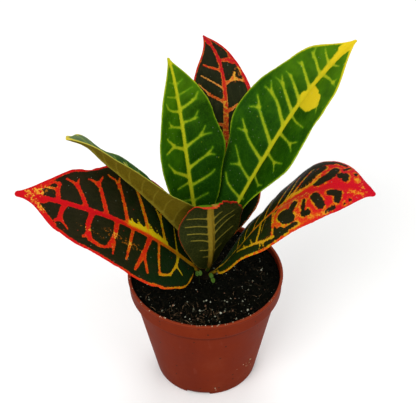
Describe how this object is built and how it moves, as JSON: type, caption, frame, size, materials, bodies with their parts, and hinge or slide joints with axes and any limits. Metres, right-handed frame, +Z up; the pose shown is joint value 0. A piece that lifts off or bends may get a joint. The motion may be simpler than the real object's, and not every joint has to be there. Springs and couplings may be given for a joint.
{
  "type": "potted plant",
  "caption": "Potted croton: broad patterned leaves on a short stem, standing in soil in a small round plastic nursery pot with a stepped collar.",
  "frame": {"origin": "middle of the pot's underside, on the surface that it stands on", "axes": "+Z up along the pot's axis, -Y towards the front of the plant, +X to its right"},
  "size_m": [0.1899, 0.1058, 0.2049],
  "materials": {
    "pot_plastic": "matt terracotta-coloured plastic",
    "soil": "dark damp peat with pale grains",
    "stem": "young bark",
    "leaf_red": "glossy leaf, dark green with red and orange veins",
    "leaf_green": "glossy leaf, green with yellow veins",
    "leaf_olive": "matt olive leaf underside",
    "sprout": "small soft green leaves"
  },
  "bodies": {
    "root": {"pot": "pot_plastic", "soil": "soil", "stem": "stem", "leaf_left": "leaf_red", "leaf_left_upper": "leaf_green", "leaf_upright_left": "leaf_green", "leaf_back": "leaf_red", "leaf_right_upper": "leaf_green", "leaf_right": "leaf_red", "leaf_front": "leaf_olive", "sprout_left": "sprout", "sprout_right": "sprout"}
  },
  "joints": []
}
